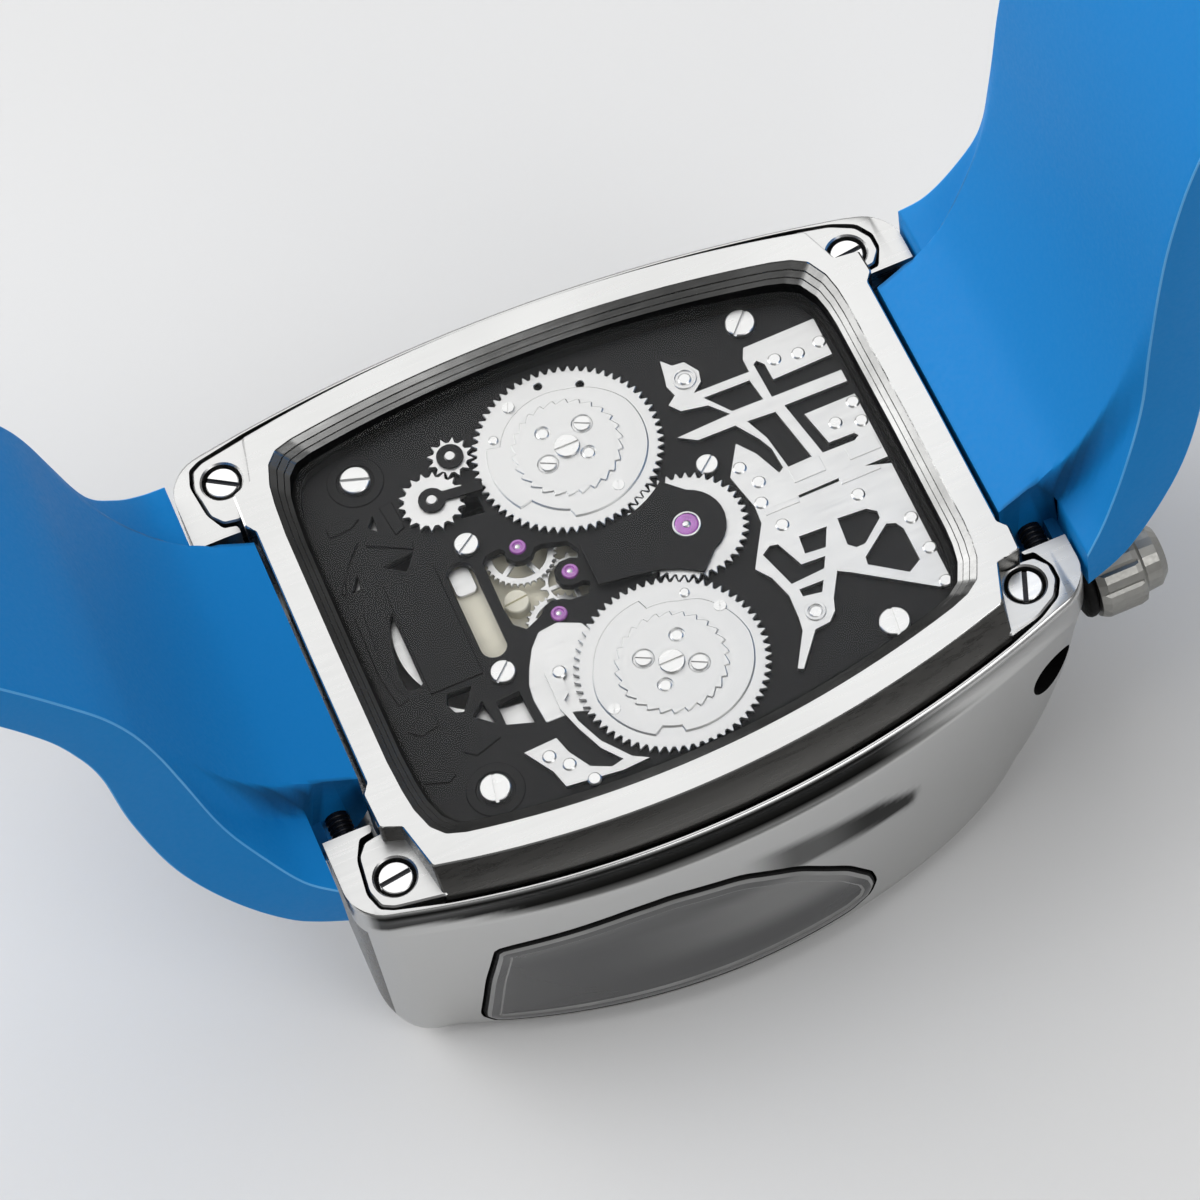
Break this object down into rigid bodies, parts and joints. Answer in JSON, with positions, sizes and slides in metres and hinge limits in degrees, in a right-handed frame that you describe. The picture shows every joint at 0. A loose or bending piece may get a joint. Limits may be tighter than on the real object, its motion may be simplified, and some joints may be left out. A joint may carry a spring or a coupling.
{
  "type": "wristwatch",
  "caption": "Barrel-shaped steel wristwatch lying face down, open skeleton movement seen through its case back, blue rubber strap.",
  "frame": {"origin": "on the front crystal face, on the case centre line, midway between the lugs", "axes": "+Z out of the case back, +X from the 12 o'clock end to the crown end, +Y across the case away from the camera"},
  "size_m": [0.1168, 0.049, 0.1269],
  "materials": {
    "steel": "polished edges, satin faces",
    "nickel": "satin",
    "black_plate": "matt black plating",
    "pale_brass": "satin",
    "ruby": "polished",
    "crystal": "polished",
    "smoked_crystal": "polished",
    "blue_rubber": "matt",
    "black_seal": "matt",
    "dial_lacquer": "satin"
  },
  "bodies": {
    "case": {"case_middle": "steel", "rear_cover": "steel", "rear_crystal": "crystal", "front_crystal": "crystal", "side_window_near": "smoked_crystal", "side_window_far": "smoked_crystal", "crown_tube": "steel", "movement_ring": "black_plate", "main_plate": "nickel", "bridge_plate": "black_plate", "skeleton_plate": "nickel", "yoke_plate": "nickel", "intermediate_cock": "black_plate", "intermediate_jewel": "ruby", "setting_cock": "black_plate", "minute_cock": "black_plate", "jewel_1": "ruby", "jewel_2": "ruby", "jewel_3": "ruby", "dial": "dial_lacquer", "train_plate": "pale_brass", "spring_bar_12": "steel", "spring_bar_6": "steel", "rear_screw_1": "steel", "rear_screw_2": "steel", "rear_screw_3": "steel", "rear_screw_4": "steel", "bridge_screw_1": "nickel", "bridge_screw_2": "nickel", "bridge_screw_3": "nickel", "bridge_screw_4": "nickel", "bridge_screw_5": "nickel", "bridge_screw_6": "nickel", "bridge_screw_7": "nickel"},
    "crown_sleeve": {"crown_gasket": "black_seal"},
    "crown_knob": {"crown": "steel"},
    "ratchet_upper": {"ratchet_wheel_upper": "nickel", "ratchet_screw_upper": "nickel"},
    "ratchet_lower": {"ratchet_wheel_lower": "nickel", "ratchet_screw_lower": "nickel"},
    "intermediate": {"intermediate_wheel": "nickel"},
    "setting": {"setting_wheel": "nickel"},
    "minute_work": {"minute_wheel": "nickel"},
    "third": {"third_wheel": "nickel"},
    "fourth": {"fourth_wheel": "nickel"},
    "escape": {"escape_wheel": "nickel"},
    "balance": {"balance_wheel": "nickel"},
    "hour": {"hour_hand": "nickel"},
    "minute": {"minute_hand": "nickel"},
    "strap_12_half": {"strap_12": "blue_rubber"},
    "strap_6_half": {"strap_6": "blue_rubber"},
    "buckle": {"buckle_frame": "steel", "buckle_pin": "steel"},
    "prong": {"buckle_prong": "steel"},
    "keeper": {"free_keeper": "blue_rubber"}
  },
  "joints": [
    {"name": "crown_pull", "type": "slide", "parent": "case", "child": "crown_sleeve", "axis": [1, 0, 0], "range_m": [0, 0.0015]},
    {"name": "crown_turn", "type": "hinge", "parent": "crown_sleeve", "child": "crown_knob", "pos_m": [0.028, -0.0133, 0.0132], "axis": [1, 0, 0], "continuous": true},
    {"name": "ratchet_upper_turn", "type": "hinge", "parent": "case", "child": "ratchet_upper", "pos_m": [-0.00044, 0.00894, 0.01785], "axis": [0, 0, 1], "continuous": true},
    {"name": "ratchet_lower_turn", "type": "hinge", "parent": "case", "child": "ratchet_lower", "pos_m": [-0.00044, -0.00958, 0.01785], "axis": [0, 0, 1], "continuous": true},
    {"name": "intermediate_turn", "type": "hinge", "parent": "case", "child": "intermediate", "pos_m": [0.00456, -0.00032, 0.01785], "axis": [0, 0, 1], "continuous": true},
    {"name": "setting_turn", "type": "hinge", "parent": "case", "child": "setting", "pos_m": [-0.0104, 0.0091, 0.0178], "axis": [0, 0, 1], "continuous": true},
    {"name": "minute_work_turn", "type": "hinge", "parent": "case", "child": "minute_work", "pos_m": [-0.008, 0.0118, 0.0178], "axis": [0, 0, 1], "continuous": true},
    {"name": "third_turn", "type": "hinge", "parent": "case", "child": "third", "pos_m": [-0.0064, 0.0034, 0.0157], "axis": [0, 0, 1], "continuous": true},
    {"name": "fourth_turn", "type": "hinge", "parent": "case", "child": "fourth", "pos_m": [-0.0058, -0.0026, 0.015], "axis": [0, 0, 1], "continuous": true},
    {"name": "escape_turn", "type": "hinge", "parent": "case", "child": "escape", "pos_m": [-0.0039, 0.0001, 0.0153], "axis": [0, 0, 1], "continuous": true},
    {"name": "balance_swing", "type": "hinge", "parent": "case", "child": "balance", "pos_m": [-0.0103, -0.00035, 0.013], "axis": [0, 0, 1], "range_deg": [-135, 135], "stiffness_Nm_per_rad": 0.000004},
    {"name": "hour_turn", "type": "hinge", "parent": "case", "child": "hour", "pos_m": [-0.00375, 0, 0.0043], "axis": [0, 0, 1], "continuous": true},
    {"name": "minute_turn", "type": "hinge", "parent": "case", "child": "minute", "pos_m": [-0.00375, 0, 0.0037], "axis": [0, 0, 1], "continuous": true},
    {"name": "strap_12_hinge", "type": "hinge", "parent": "case", "child": "strap_12_half", "pos_m": [-0.0249, 0, 0.0167], "axis": [0, 1, 0], "range_deg": [0, 4]},
    {"name": "strap_6_hinge", "type": "hinge", "parent": "case", "child": "strap_6_half", "pos_m": [0.0254, 0, 0.0167], "axis": [0, -1, 0], "range_deg": [0, 4]},
    {"name": "buckle_hinge", "type": "hinge", "parent": "strap_12_half", "child": "buckle", "pos_m": [-0.0565, 0, 0.0862], "axis": [0, 1, 0], "range_deg": [-80, 45]},
    {"name": "prong_hinge", "type": "hinge", "parent": "buckle", "child": "prong", "pos_m": [-0.0565, 0, 0.0862], "axis": [0, 1, 0], "range_deg": [0, 50]},
    {"name": "keeper_slide", "type": "slide", "parent": "strap_12_half", "child": "keeper", "axis": [-0.3351, 0, 0.9422], "range_m": [0, 0.0018]}
  ],
  "couplings": [
    {"joint": "ratchet_upper_turn", "follows": "crown_turn", "ratio": 0.25},
    {"joint": "ratchet_lower_turn", "follows": "crown_turn", "ratio": 0.25},
    {"joint": "intermediate_turn", "follows": "crown_turn", "ratio": -0.4},
    {"joint": "hour_turn", "follows": "minute_turn", "ratio": 0.083333},
    {"joint": "minute_work_turn", "follows": "minute_turn", "ratio": 0.33333},
    {"joint": "setting_turn", "follows": "minute_turn", "ratio": -0.22222},
    {"joint": "third_turn", "follows": "fourth_turn", "ratio": -0.125},
    {"joint": "escape_turn", "follows": "fourth_turn", "ratio": -8}
  ]
}
